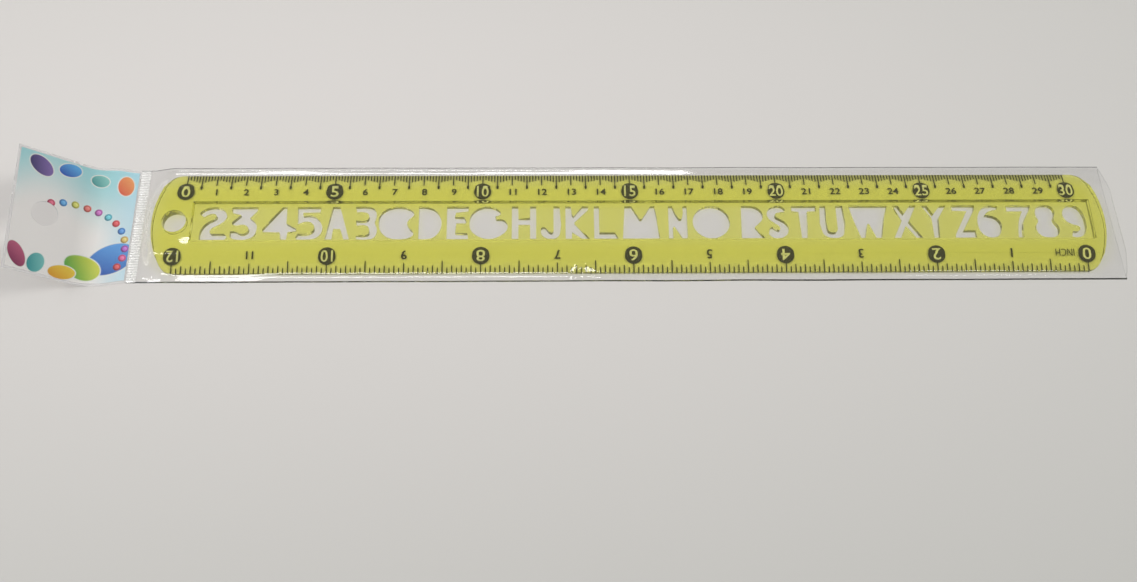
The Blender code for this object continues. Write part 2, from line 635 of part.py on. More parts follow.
def make_crimp():
    """Ribbed heat seal that closes the sleeve below the header."""
    ribs = round(crimp_span / crimp_rib_pitch)
    lower = []
    for step in range(2 * ribs + 1):
        y = crimp_span * step / (2 * ribs) - crimp_span / 2
        lower.append((y, crimp_rib_height * (step % 2), C))
    upper = [(y, z + crimp_web, kind) for y, z, kind in reversed(lower)]
    crimp = extruded_mesh("crimp_seal", [lower + upper], crimp_left_x, crimp_right_x)
    ride(add_part("crimp_seal", along_ruler(crimp), "crimp"), "sleeve_slide")


def header_slope(distance):
    """Slope of the header, in radians, at a distance from its fold."""
    return min(max(distance - header_flat_length, 0) / header_bend_radius, header_rise)


def header_point(distance, y, height):
    """Point on the header: flat past the fold, then bent up and straight to its end."""
    slope = header_slope(distance)
    flat = min(distance, header_flat_length)
    ramp = max(distance - header_flat_length - header_bend_radius * header_rise, 0)
    x = flat + header_bend_radius * math.sin(slope) + ramp * math.cos(slope)
    z = header_bend_radius * (1 - math.cos(slope)) + ramp * math.sin(slope)
    return (header_root_x - x + height * math.sin(slope), y, z + height * math.cos(slope))


def make_header():
    """Header beyond the crimp: two films with the print between them and a hang hole."""
    layers = (
        ("header_back_film", 0, film_thickness, 0, "film"),
        ("header_print", film_thickness + header_layer_gap, ink_thickness, header_print_inset,
         "header_print"),
        ("header_front_film", header_front_z, film_thickness, 0, "film"))
    bend_end = header_flat_length + header_bend_radius * header_rise
    stations = [header_flat_length * step / flat_segments for step in range(flat_segments)]
    stations += [header_flat_length + (bend_end - header_flat_length) * step / bend_segments
                 for step in range(bend_segments + 1)]
    hole_distance = header_length - header_hole_inset
    placing = Matrix.Translation(header_point(hole_distance, 0, 0))
    placing @= Matrix.Rotation(header_slope(hole_distance), 4, "Y")
    drill = round_cutter("header_hang_hole", header_hole_diameter, header_hole_diameter, placing)
    ride(drill, "header_fold")
    for name, height, thickness, inset, finish in layers:
        end_half = header_width / 2 - inset
        end_row = [header_point(header_length + header_end_skew * (0.5 + y / header_width), y, height)
                   for y in (-end_half, 0, end_half)]
        rows = [end_row]
        for distance in reversed(stations):
            half = flared(crimp_span, header_width, distance / flare_length) / 2 - inset
            rows.append([header_point(distance, y, height) for y in (-half, 0, half)])
        sheet = film_sheet(name, rows, thickness, finish)
        cut(sheet, drill)
        ride(sheet, "header_fold")


clear_scene()
add_joints()
make_blade()
make_centimetre_scale()
make_inch_scale()
make_back_film()
make_upper_panels()
make_crimp()
make_header()
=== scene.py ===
"""Flexible stencil ruler in its clear sleeve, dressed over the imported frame.

Metres, +Z up, in the frame of the CAD: X along the ruler, Y across it towards
the centimetre edge, Z = 0 on the table.
"""

import math

import bmesh
import bpy
from mathutils import Matrix, Vector, noise


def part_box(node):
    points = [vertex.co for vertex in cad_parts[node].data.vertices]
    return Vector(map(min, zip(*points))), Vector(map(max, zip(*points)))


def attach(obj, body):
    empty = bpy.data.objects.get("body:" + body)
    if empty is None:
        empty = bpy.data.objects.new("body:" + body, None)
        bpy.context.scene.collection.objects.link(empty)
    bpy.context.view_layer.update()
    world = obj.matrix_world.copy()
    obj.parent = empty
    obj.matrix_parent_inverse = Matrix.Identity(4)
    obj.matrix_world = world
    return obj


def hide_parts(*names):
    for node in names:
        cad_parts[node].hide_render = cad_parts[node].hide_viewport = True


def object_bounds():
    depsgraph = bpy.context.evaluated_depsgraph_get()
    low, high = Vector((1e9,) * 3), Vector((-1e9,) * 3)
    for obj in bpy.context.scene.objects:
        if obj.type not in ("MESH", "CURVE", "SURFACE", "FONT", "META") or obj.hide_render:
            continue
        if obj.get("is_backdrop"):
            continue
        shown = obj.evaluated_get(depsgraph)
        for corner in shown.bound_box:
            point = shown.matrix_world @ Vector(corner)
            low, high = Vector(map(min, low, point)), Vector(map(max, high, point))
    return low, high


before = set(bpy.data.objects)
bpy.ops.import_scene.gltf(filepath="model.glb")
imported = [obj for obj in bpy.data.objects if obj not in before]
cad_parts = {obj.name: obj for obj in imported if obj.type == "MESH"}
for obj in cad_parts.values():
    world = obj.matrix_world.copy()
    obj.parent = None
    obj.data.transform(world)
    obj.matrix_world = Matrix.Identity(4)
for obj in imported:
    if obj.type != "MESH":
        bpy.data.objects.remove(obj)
cad_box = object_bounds()

MM = 0.001

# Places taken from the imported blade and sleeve
blade_low, blade_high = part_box("blade")
blade_edge = blade_high.y
blade_top = blade_high.z
blade_underside = blade_low.z
ink_low, ink_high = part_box("centimetre_scale_print")
crimp_low, crimp_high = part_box("crimp_seal")
sleeve_low, sleeve_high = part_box("sleeve_back_film")
header_root_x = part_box("header_front_film")[1].x

# Blade
slope_width = 6.0 * MM
shoulder_y = blade_edge - slope_width
shoulder_rounding = 2.4 * MM
shoulder_segments = 6
outline_rounding = 0.30 * MM
outline_segments = 4
outline_angle = math.radians(60)
edge_easing = 0.12 * MM
easing_segments = 2
easing_angle = math.radians(30)
flat_angle = math.radians(0.5)
blade_crease_angle = math.radians(15)
edge_tolerance = 0.05 * MM
sliver = 0.001 * MM
recess_half = 7.25 * MM
recess_start_margin = 13.1 * MM
recess_end_margin = 4.4 * MM
recess_left = blade_low.x + recess_start_margin
recess_right = blade_high.x - recess_end_margin
recess_rim = 0.1 * MM
end_arc_radius = 33 * MM
end_corner = 1.5 * MM

# Scales
inch = 25.4 * MM
centimetres = 30
inches = 12
ticks_per_centimetre = 10
ticks_per_inch = 16
centimetres_per_badge = 5
inches_per_badge = 2
centimetre_zero_margin = 9.5 * MM
centimetre_zero_x = blade_low.x + centimetre_zero_margin
inch_zero_x = inches / 2 * inch
print_z = blade_underside
print_thickness = ink_high.z - ink_low.z
tick_inset = 0.05 * MM
tick_edge = blade_edge - tick_inset
tick_root = 0.22 * MM
tick_tip = 0.17 * MM
centimetre_tick = 4.5 * MM
half_centimetre_tick = 5.0 * MM
shortest_millimetre_tick = 2.0
millimetre_tick_growth = 0.33
dot_diameter = 0.8 * MM
inch_tick = 4.1 * MM
half_inch_tick = 4.9 * MM
eighth_tick = 3.2 * MM
sixteenth_tick = 2.4 * MM
badge_diameter = 5.8 * MM
badge_inset = 6.5 * MM
badge_figure_height = 3.6 * MM

# Figures: their heights, places in from the blade's edge, and the slimness and weight of their strokes
centimetre_figure_height = 2.35 * MM
centimetre_figure_inset = 6.5 * MM
centimetre_figure_shift = 0.3 * MM
inch_figure_height = 2.7 * MM
double_inch_figure_height = 2.3 * MM
inch_figure_inset = 6.9 * MM
unit_height = 1.9 * MM
unit_inset = 7.0 * MM
unit_shift = 7.4 * MM
figure_slimness = 1.15
figure_spacing = 1.02
badge_figure_slimness = 1.0
single_badge_figure_slimness = 1.25
badge_figure_rise = 0.8
centimetre_figure_weight = 0.015
inch_figure_weight = 0.018
badge_figure_weight = 0.012
stroke_join = 0.002 * MM

# Crimp
rib_pitch = 0.92 * MM
rib_height = 0.10 * MM
rib_fade = 0.3 * MM
rib_columns = 420
crimp_z = 0.08 * MM
crimp_thickness = 0.09 * MM
crimp_half = (crimp_high.y - crimp_low.y) / 2

# Sleeve
film_thickness = 0.06 * MM
film_lowest = 0.20 * MM
film_end_room = 0.5 * MM
film_step = 0.75 * MM
fine_film_step = 0.30 * MM
fine_end_length = 8 * MM
shortest_film_step = 0.1 * MM
upper_columns = 96
under_columns = 24
margin_crowding = 1.35
flare_length = 9 * MM
mouth_skew = 1.8 * MM
mouth_skew_length = 12 * MM
sheet_crease_angle = math.radians(35)
weld_diameter = 0.27 * MM
weld_stride = 3
weld_rise = 0.02 * MM
weld_z = weld_diameter / 2 + weld_rise
sleeve_front_y = sleeve_low.y
sleeve_rear_y = sleeve_high.y
film_start_x = crimp_low.x

# Height of the film out from the blade's middle line, as distance and height in millimetres
drape_on_blade = ((0.0, 4.08), (6.0, 4.10), (11.0, 4.06), (13.0, 3.74), (15.5, 2.76))
rear_drape = drape_on_blade + (
    (17.8, 1.86), (18.7, 1.50), (19.2, 1.26), (19.8, 0.96), (20.4, 0.65), (20.9, 0.40), (21.4, 0.28),
    (21.95, 0.22))
front_drape = drape_on_blade + (
    (17.6, 1.92), (18.3, 1.58), (18.8, 1.08), (19.2, 0.62), (19.7, 0.42), (20.3, 0.34), (20.75, 0.22))

# The slacker drape of the front side near the blade's left end, and the stretch that it holds
slack_drape = drape_on_blade + (
    (17.6, 1.92), (18.6, 1.50), (19.0, 1.24), (19.3, 0.98), (20.3, 0.30), (20.5, 0.24), (20.75, 0.22))
slack_start_x = -157 * MM
slack_end_x = -109 * MM
slack_start_fade = 9 * MM
slack_end_fade = 22 * MM

# Soft waves of the film: waves along and across per metre, and a layer of the noise for each
edge_waves = (40, 0, 9.0)
broad_waves = (28, 20, 3.0)
short_waves = (90, 45, 7.0)
ripple_waves = (60, 60, 5.0)
edge_sway = 0.12 * MM
broad_swell = 0.30
short_swell = 0.12
ripple_height = 0.05 * MM

# The waves move the drape most over the slopes, and end at the welded margin: distances in millimetres
swell_centre = 16.0
swell_spread = 4
swell_strength = 1.6
welded_margin = 1.2

# Wrinkles: centre, half length, half width and height in millimetres, then direction in degrees
wrinkles = (
    (-145.9, -5.6, 5.6, 2.8, 0.76, 0), (-121.0, -15.2, 4.0, 1.6, 0.14, 10),
    (-109.0, 14.6, 3.0, 2.0, 0.10, -20), (-24.0, -11.5, 3.4, 1.5, 0.12, -15),
    (-31.0, -9.5, 2.2, 1.2, 0.10, 30), (-2.0, -14.0, 2.4, 1.2, 0.10, -20),
    (-158.6, -18.2, 2.2, 0.5, 0.20, 80), (156.0, 17.5, 5.0, 1.2, 0.22, 55),
    (157.5, 3.1, 4.0, 2.0, 0.30, 0), (-66.0, 9.0, 9.0, 2.0, 0.06, 2),
    (52.0, -9.0, 14.0, 2.0, 0.06, -3), (104.0, 10.0, 12.0, 2.0, 0.06, 4))
wrinkle_reach = 3

# Sharper folds with straight sides: both ends, half width and height, in millimetres
folds = (
    (-21.8, -20.6, -16.9, -15.4, 1.6, 0.64), (-17.4, -15.6, -9.0, -19.2, 1.9, 0.62),
    (-16.7, -17.6, -16.7, -20.8, 0.5, 0.18))
folds_start_x = -24 * MM
folds_stop_x = -7 * MM
fold_crest = 1.05
fold_crest_rounding = 0.02
fold_end_steepness = 4

# Header
header_length = 38.8 * MM
header_width = 44 * MM
header_flat_length = 11 * MM
header_bend_radius = 11 * MM
header_rise = math.radians(40)
header_end_skew = 1.8 * MM
header_hole_diameter = 8.5 * MM
header_hole_sides = 64
header_hole_inset = 9.8 * MM
header_print_inset = 0.9 * MM
header_print_z = 0.14 * MM
header_upper_z = 0.24 * MM
header_steps = 100
punch_depth = 4 * MM

# Table
table_half = 2.5
table_drop = 0.06 * MM
# Painted pool of light on the table: its centre and reach in metres, then the darker colour away from it and
# the paler colour in it
light_pool_centre = (-0.119, 0.033, 0.0)
light_pool_reach = (0.40, 0.186, 1.0)
table_colour_outside_painted_light = (0.468, 0.478, 0.456, 1.0)
table_painted_light_colour = (0.687, 0.667, 0.656, 1.0)

# Light: names, places, widths, heights and powers. Ceiling lights light surfaces, the others are mirrored
room_colour = (1.0, 0.985, 0.965, 1.0)
room_light = 0.45
room_dimming = 0.30
ceiling_colour = (1.0, 0.99, 0.97)
window_colour = (1.0, 1.0, 1.0)
ceiling_lights = (
    ("left ceiling light", (-1.45, 0.35, 1.15), 0.7, 0.5, 17.3),
    ("right ceiling light", (1.55, 0.35, 1.15), 0.7, 0.5, 18.4))
windows = (
    ("far window", (-0.03, 1.60, 0.26), 0.46, 0.16, 2.6),
    ("second far window", (-0.46, 1.60, 0.26), 0.40, 0.14, 1.3),
    ("near window", (-0.31, -1.00, 1.00), 0.73, 0.42, 10.8))
lamps = (
    ("left lamp", (-0.737, 0.103, 1.27), 0.32, 0.32, 3.9),
    ("right lamp", (0.58, -0.81, 0.98), 0.20, 0.20, 0.8))

# Camera: place in metres, turn in degrees, lens and sensor in millimetres
camera_place = (-0.030965, -0.178078, 0.351147)
camera_turn = (23.6555, -1.1591, -0.7647)
camera_lens = 36.887
camera_sensor = 36.0
camera_nearest = 0.01


# Node helpers
def new_material(name):
    """Material with an empty node tree."""
    material = bpy.data.materials.new(name)
    material.use_nodes = True
    material.node_tree.nodes.clear()
    return material, material.node_tree


def feed(tree, socket, value):
    """Set a node's input to a value, or link it where it is given a socket."""
    if isinstance(value, bpy.types.NodeSocket):
        tree.links.new(value, socket)
    else:
        socket.default_value = value


def put(tree, kind, settings=None, **sockets):
    """Add a node; each named input, or numbered one such as _0, gets a value or a link."""
    made = tree.nodes.new(kind)
    for key, value in (settings or {}).items():
        setattr(made, key, value)
    for key, value in sockets.items():
        socket = made.inputs[int(key[1:])] if key[1:].isdigit() else made.inputs[key.replace("_", " ")]
        feed(tree, socket, value)
    return made


def maths(tree, operation, *values):
    """Socket with the result of a Math node."""
    made = put(tree, "ShaderNodeMath", {"operation": operation})
    for socket, value in zip(made.inputs, values):
        feed(tree, socket, value)
    return made.outputs[0]


def vector_maths(tree, operation, first, second=None):
    """Socket with the result of a Vector Math node: a number for a length or a dot product."""
    made = put(tree, "ShaderNodeVectorMath", {"operation": operation}, _0=first)
    if second is not None:
        feed(tree, made.inputs[1], second)
    return made.outputs["Value" if operation in ("LENGTH", "DOT_PRODUCT") else "Vector"]


def blend_colours(tree, factor, first, second):
    """Socket with a mix of two colours."""
    made = put(tree, "ShaderNodeMix", {"data_type": "RGBA", "clamp_factor": True})
    for socket, value in zip((made.inputs[0], made.inputs[6], made.inputs[7]), (factor, first, second)):
        feed(tree, socket, value)
    return made.outputs[2]


def spread(tree, value, settings=None, **limits):
    """Socket with a value spread over a range of its own."""
    return put(tree, "ShaderNodeMapRange", settings, Value=value, **limits).outputs[0]


def finish_surface(tree, shader, volume=None):
    """Connect a shader, and a volume where there is one, to the material's output."""
    output = put(tree, "ShaderNodeOutputMaterial", Surface=shader)
    if volume:
        tree.links.new(volume, output.inputs["Volume"])


def let_light_through(tree, shader, amount=1.0):
    """Mix a clear shader in where light is gathered, so that it reaches what lies under the plastic."""
    clear = put(tree, "ShaderNodeBsdfTransparent", Color=(1.0, 1.0, 1.0, 1.0))
    path = put(tree, "ShaderNodeLightPath")
    lit = maths(tree, "MAXIMUM", path.outputs["Is Shadow Ray"], path.outputs["Is Diffuse Ray"])
    if amount < 1.0:
        lit = maths(tree, "MULTIPLY", lit, amount)
    return put(tree, "ShaderNodeMixShader", _0=lit, _1=shader, _2=clear.outputs[0]).outputs[0]


# Materials
def fine_unevenness():
    """Node group: soft waviness of moulded plastic and film, as a height and a roughness."""
    group = bpy.data.node_groups.new("fine unevenness", "ShaderNodeTree")
    for name, highest in (("Scale", 5000.0), ("Roughness Low", 1.0), ("Roughness High", 1.0)):
        socket = group.interface.new_socket(name, in_out="INPUT", socket_type="NodeSocketFloat")
        socket.min_value = 0.0
        socket.max_value = highest
    for name in ("Height", "Roughness"):
        group.interface.new_socket(name, in_out="OUTPUT", socket_type="NodeSocketFloat")
    entry = put(group, "NodeGroupInput").outputs
    place = put(group, "ShaderNodeTexCoord").outputs["Object"]
    grain = put(group, "ShaderNodeTexNoise", Vector=place, Scale=entry["Scale"], Detail=3.0).outputs[0]
    rough = spread(
        group, grain, From_Min=0.3, From_Max=0.7, To_Min=entry["Roughness Low"],
        To_Max=entry["Roughness High"])
    put(group, "NodeGroupOutput", Height=grain, Roughness=rough)
    return group


unevenness = fine_unevenness()


def uneven(tree, scale, low, high):
    """The unevenness group placed in a material: its height and roughness sockets."""
    made = put(
        tree, "ShaderNodeGroup", {"node_tree": unevenness}, Scale=scale, Roughness_Low=low,
        Roughness_High=high)
    return made.outputs["Height"], made.outputs["Roughness"]


def soft_bump(tree, height, strength):
    """Socket with a normal bumped by a height."""
    return put(tree, "ShaderNodeBump", Height=height, Strength=strength, Distance=0.05 * MM).outputs[0]


def lime_plastic():
    """Translucent yellow-green soft plastic: it takes colour from its thickness."""
    material, tree = new_material("lime soft plastic")
    height, rough = uneven(tree, scale=260.0, low=0.02, high=0.07)
    shader = put(
        tree, "ShaderNodeBsdfPrincipled", Base_Color=(0.97, 0.97, 0.38, 1.0), Roughness=rough, IOR=1.53,
        Transmission_Weight=0.95, Normal=soft_bump(tree, height, strength=0.08))
    volume = put(tree, "ShaderNodeVolumeAbsorption", Color=(0.945, 0.945, 0.03, 1.0), Density=120.0)
    finish_surface(tree, let_light_through(tree, shader.outputs[0]), volume.outputs[0])
    return material


def clear_film(name, tint, low, high):
    """Clear glossy packing film of a tint, between two roughnesses."""
    material, tree = new_material(name)
    height, rough = uneven(tree, scale=90.0, low=low, high=high)
    shader = put(
        tree, "ShaderNodeBsdfPrincipled", Base_Color=(*tint, 1.0), Roughness=rough, IOR=1.5,
        Transmission_Weight=1.0, Normal=soft_bump(tree, height, strength=0.05))
    finish_surface(tree, let_light_through(tree, shader.outputs[0]))
    return material


def ribbed_weld():
    """Frosted film of the crimp, painted whiter on the ribs as a highlight and greyer between them as shade.
    """
    material, tree = new_material("crimped film with painted rib highlights")
    place = put(tree, "ShaderNodeSeparateXYZ", Vector=put(tree, "ShaderNodeTexCoord").outputs["Object"])
    wave = maths(tree, "COSINE", maths(tree, "MULTIPLY", place.outputs["Y"], 2 * math.pi / rib_pitch))
    # Painted highlight on the ribs and painted shade in the grooves between them.
    rib_painted_highlight = spread(tree, wave, From_Min=-0.5, From_Max=0.6)
    colour = blend_colours(tree, rib_painted_highlight, (0.70, 0.70, 0.69, 1.0), (0.95, 0.95, 0.94, 1.0))
    rough = uneven(tree, scale=400.0, low=0.20, high=0.35)[1]
    shader = put(
        tree, "ShaderNodeBsdfPrincipled", Base_Color=colour, Roughness=rough, IOR=1.5,
        Transmission_Weight=0.35)
    finish_surface(tree, let_light_through(tree, shader.outputs[0]))
    return material


def milky_film():
    """Clear film with a milky cast, for the header's bare margins."""
    material, tree = new_material("milky film")
    rough = uneven(tree, scale=90.0, low=0.20, high=0.30)[1]
    shader = put(
        tree, "ShaderNodeBsdfPrincipled", Base_Color=(0.81, 0.80, 0.80, 1.0), Roughness=rough, IOR=1.5,
        Transmission_Weight=0.45)
    finish_surface(tree, let_light_through(tree, shader.outputs[0], amount=0.7))
    return material


def ink(name, dark, light):
    """Screen print with slightly uneven cover."""
    material, tree = new_material(name)
    height, rough = uneven(tree, scale=900.0, low=0.45, high=0.65)
    colour = blend_colours(tree, height, (*dark, 1.0), (*light, 1.0))
    shader = put(
        tree, "ShaderNodeBsdfPrincipled", Base_Color=colour, Roughness=rough, Specular_IOR_Level=0.1)
    finish_surface(tree, shader.outputs[0])
    return material


def printed_shape():
    """Node group: an ellipse on the print, as a mask with a crisp rim and a shade across it."""
    group = bpy.data.node_groups.new("printed shape", "ShaderNodeTree")
    for name in ("Place", "Centre", "Reach"):
        group.interface.new_socket(name, in_out="INPUT", socket_type="NodeSocketVector")
    group.interface.new_socket("Turn", in_out="INPUT", socket_type="NodeSocketFloat")
    for name in ("Mask", "Shade"):
        group.interface.new_socket(name, in_out="OUTPUT", socket_type="NodeSocketFloat")
    entry = put(group, "NodeGroupInput").outputs
    moved = vector_maths(group, "SUBTRACT", entry["Place"], entry["Centre"])
    turned = put(
        group, "ShaderNodeVectorRotate", {"rotation_type": "Z_AXIS"}, Vector=moved, Angle=entry["Turn"])
    scaled = vector_maths(group, "DIVIDE", turned.outputs[0], entry["Reach"])
    away = vector_maths(group, "LENGTH", scaled)
    mask = spread(
        group, away, {"interpolation_type": "SMOOTHSTEP"}, From_Min=0.94, From_Max=1.02, To_Min=1.0,
        To_Max=0.0)
    slant = vector_maths(group, "DOT_PRODUCT", scaled, shade_direction)
    shade = spread(group, slant, From_Min=-0.5, From_Max=0.5)
    put(group, "NodeGroupOutput", Mask=mask, Shade=shade)
    return group


# Ground of the header's print: pale ground, teal above a wavy line, and sky at the header's root
ground_colour = (0.76, 0.74, 0.72, 1.0)
teal_colour = (0.32, 0.61, 0.64, 1.0)
sky_colour = (0.40, 0.66, 0.78, 1.0)
sky_strength = 0.7
ground_wave_pace = 7.0
ground_wave_height = 0.10

# Motifs of the header's print, in header widths: centre, half sizes, turn in degrees, dark and light colour
print_motifs = (
    ((0.13, 0.22), (0.190, 0.120), 25, (0.020, 0.090, 0.38), (0.10, 0.32, 0.68)),
    ((0.33, 0.14), (0.140, 0.095), -20, (0.10, 0.36, 0.06), (0.52, 0.56, 0.06)),
    ((0.47, 0.075), (0.100, 0.055), 10, (0.62, 0.30, 0.02), (0.72, 0.52, 0.05)),
    ((0.80, 0.13), (0.055, 0.105), 30, (0.22, 0.03, 0.09), (0.42, 0.09, 0.17)),
    ((0.66, 0.10), (0.060, 0.080), -15, (0.03, 0.26, 0.27), (0.16, 0.46, 0.44)),
    ((0.74, 0.88), (0.100, 0.065), -35, (0.05, 0.04, 0.14), (0.20, 0.13, 0.36)),
    ((0.53, 0.91), (0.085, 0.055), 15, (0.03, 0.10, 0.42), (0.10, 0.38, 0.72)),
    ((0.30, 0.88), (0.070, 0.050), -10, (0.08, 0.30, 0.30), (0.22, 0.52, 0.48)),
    ((0.10, 0.84), (0.062, 0.085), 12, (0.62, 0.11, 0.05), (0.75, 0.30, 0.10)))
halo_width = 0.008
halo_colour = (0.70, 0.72, 0.68)
shade_direction = (0.45, -0.35, 0.0)

# Beads strung across the print on an arc: its centre, reach, start and step in degrees, then the beads
string_centre = (0.44, 0.30)
string_reach = (0.40, 0.34)
string_start = 205
string_step = 13
bead_reach = (0.030, 0.030)
bead_shine_reach = (0.017, 0.017)
bead_shadow = 0.45
bead_shine_gain = 1.5
bead_shine_lift = 0.1
bead_shine_limit = 0.8
bead_colours = (
    (0.52, 0.06, 0.07), (0.60, 0.10, 0.25), (0.36, 0.10, 0.42), (0.60, 0.42, 0.12), (0.06, 0.22, 0.56),
    (0.60, 0.06, 0.07), (0.10, 0.42, 0.52), (0.44, 0.12, 0.40), (0.62, 0.14, 0.12), (0.52, 0.52, 0.10),
    (0.08, 0.28, 0.60), (0.55, 0.08, 0.15))


def header_picture():
    """Print of the header: pale teal and white ground with shaded ellipses and a string of beads."""
    material, tree = new_material("header print")
    place = put(tree, "ShaderNodeUVMap", {"uv_map": "print"}).outputs[0]
    shape = printed_shape()
    eased = {"interpolation_type": "SMOOTHSTEP"}

    def paint(colour, centre, reach, turn, dark, light):
        spot = put(
            tree, "ShaderNodeGroup", {"node_tree": shape}, Place=place, Centre=(*centre, 0.0),
            Reach=(*reach, 1.0), Turn=math.radians(turn))
        tone = blend_colours(tree, spot.outputs["Shade"], (*light, 1.0), (*dark, 1.0))
        return blend_colours(tree, spot.outputs["Mask"], colour, tone)

    split = put(tree, "ShaderNodeSeparateXYZ", Vector=place)
    wave = maths(tree, "SINE", maths(tree, "MULTIPLY", split.outputs["X"], ground_wave_pace))
    level = maths(tree, "ADD", split.outputs["Y"], maths(tree, "MULTIPLY", wave, ground_wave_height))
    teal = spread(tree, level, eased, From_Min=0.45, From_Max=1.0)
    ground = blend_colours(tree, teal, ground_colour, teal_colour)
    sky = spread(tree, split.outputs["X"], eased, From_Min=0.30, From_Max=0.0)
    colour = blend_colours(tree, maths(tree, "MULTIPLY", sky, sky_strength), ground, sky_colour)
    for centre, reach, turn, dark, light in print_motifs:
        halo_reach = (reach[0] + halo_width, reach[1] + halo_width)
        colour = paint(colour, centre, halo_reach, turn, halo_colour, halo_colour)
        colour = paint(colour, centre, reach, turn, dark, light)
    for count, bead in enumerate(bead_colours):
        turn = math.radians(string_start - string_step * count)
        centre = (
            string_centre[0] + string_reach[0] * math.cos(turn),
            string_centre[1] + string_reach[1] * math.sin(turn))
        shadow = tuple(tone * bead_shadow for tone in bead)
        shine = tuple(min(tone * bead_shine_gain + bead_shine_lift, bead_shine_limit) for tone in bead)
        colour = paint(colour, centre, bead_reach, 0, shadow, bead)
        colour = paint(colour, centre, bead_shine_reach, 0, bead, shine)
    rough = uneven(tree, scale=300.0, low=0.35, high=0.5)[1]
    shader = put(tree, "ShaderNodeBsdfPrincipled", Base_Color=colour, Roughness=rough)
    finish_surface(tree, let_light_through(tree, shader.outputs[0], amount=0.65))
    return material


materials = {
    "lime": lime_plastic(),
    "film": clear_film("clear film", (1.0, 1.0, 1.0), low=0.03, high=0.08),
    # The welds' grey tint is painted shade. It darkens the weld beads into the thin dark line of shadow along
    # the sleeve's edges.
    "weld": clear_film("film weld with painted shade", (0.55, 0.55, 0.55), low=0.10, high=0.25),
    "milky": milky_film(),
    "crimp": ribbed_weld(),
    "ink": ink("black scale ink", (0.003, 0.003, 0.003), (0.010, 0.010, 0.008)),
    "pale ink": ink("pale figure ink", (0.64, 0.64, 0.80), (0.68, 0.68, 0.84)),
    "picture": header_picture(),
}


# Piece helpers
def add_object(name, data):
    """Link an object to the scene."""
    made = bpy.data.objects.new(name, data)
    bpy.context.scene.collection.objects.link(made)
    return made


def add_piece(name, mesh, finish, body, slot, *nodes):
    """Link a mesh as a piece that rides on a body and stands for CAD nodes where they are named."""
    piece = add_object(name, mesh)
    piece.data.materials.clear()
    piece.data.materials.append(materials[finish])
    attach(piece, body)
    if nodes:
        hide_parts(*nodes)
    return piece


def seen_mesh(piece):
    """New mesh with what an object shows, its modifiers applied."""
    bpy.context.view_layer.update()
    seen = piece.evaluated_get(bpy.context.evaluated_depsgraph_get())
    return bpy.data.meshes.new_from_object(seen)


def apply_modifiers(piece):
    """Apply a piece's modifiers to its mesh."""
    mesh = seen_mesh(piece)
    piece.modifiers.clear()
    piece.data = mesh


def shape_from(mesh):
    """Editable copy of a mesh."""
    shape = bmesh.new()
    shape.from_mesh(mesh)
    return shape


def close_shape(shape, mesh):
    """Write an editable shape to a mesh, given by itself or by the name of a new one."""
    if isinstance(mesh, str):
        mesh = bpy.data.meshes.new(mesh)
    shape.to_mesh(mesh)
    shape.free()
    return mesh


def without_slivers(mesh):
    """Merge the points of a mesh that fall together, and the needle-thin faces between them."""
    shape = shape_from(mesh)
    bmesh.ops.remove_doubles(shape, verts=shape.verts, dist=sliver)
    bmesh.ops.dissolve_degenerate(shape, dist=sliver, edges=shape.edges)
    loose = [vertex for vertex in shape.verts if not vertex.link_faces]
    bmesh.ops.delete(shape, geom=loose, context="VERTS")
    close_shape(shape, mesh)


def smooth(mesh):
    """Shade a whole mesh smooth."""
    mesh.polygons.foreach_set("use_smooth", [True] * len(mesh.polygons))


def smooth_with_creases(mesh, angle):
    """Shade a mesh smooth, with creases above an angle."""
    smooth(mesh)
    mesh.set_sharp_from_angle(angle=angle)


def grid_mesh(name, rows, print_places=None):
    """Sheet through rows of points, with places on its print as a UV map where they are given."""
    shape = bmesh.new()
    grid = [[shape.verts.new(point) for point in row] for row in rows]
    for near, far in zip(grid, grid[1:]):
        for column in range(len(near) - 1):
            shape.faces.new((near[column], far[column], far[column + 1], near[column + 1]))
    if print_places:
        layer = shape.loops.layers.uv.new("print")
        shape.verts.index_update()
        flat = [place for row in print_places for place in row]
        for face in shape.faces:
            for loop in face.loops:
                loop[layer].uv = flat[loop.vert.index]
    mesh = close_shape(shape, name)
    smooth(mesh)
    return mesh


def sheet_piece(name, rows, thickness, finish, body, slot, *nodes, print_places=None, rim=None):
    """Thin sheet with its underside through rows of points, and its cut edges in a finish of their own."""
    piece = add_piece(name, grid_mesh(name, rows, print_places), finish, body, slot, *nodes)
    solidify = piece.modifiers.new("thickness", "SOLIDIFY")
    solidify.thickness = thickness
    solidify.offset = 1.0
    if rim:
        piece.data.materials.append(materials[rim])
        solidify.material_offset_rim = 1
    apply_modifiers(piece)
    if rim:
        smooth_with_creases(piece.data, sheet_crease_angle)
    return piece


def tube_mesh(name, points, diameter, sides=8):
    """Round bead along a run of points that keeps its section upright."""
    shape = bmesh.new()
    rings = []
    for index, point in enumerate(points):
        ahead = Vector(points[min(index + 1, len(points) - 1)]) - Vector(points[max(index - 1, 0)])
        across = Vector((-ahead.y, ahead.x, 0)).normalized()
        up = ahead.normalized().cross(across)
        rings.append([
            shape.verts.new(Vector(point) + diameter / 2 * (
                across * math.cos(2 * math.pi * step / sides) + up * math.sin(2 * math.pi * step / sides)))
            for step in range(sides)])
    for near, far in zip(rings, rings[1:]):
        for step in range(sides):
            after = (step + 1) % sides
            shape.faces.new((near[step], near[after], far[after], far[step]))
    shape.faces.new(rings[0])
    shape.faces.new(rings[-1])
    bmesh.ops.recalc_face_normals(shape, faces=shape.faces)
    mesh = close_shape(shape, name)
    smooth(mesh)
    return mesh


def join_shapes(name, parts):
    """One mesh from a list of meshes."""
    whole = bmesh.new()
    for part in parts:
        whole.from_mesh(part)
        bpy.data.meshes.remove(part)
    return close_shape(whole, name)


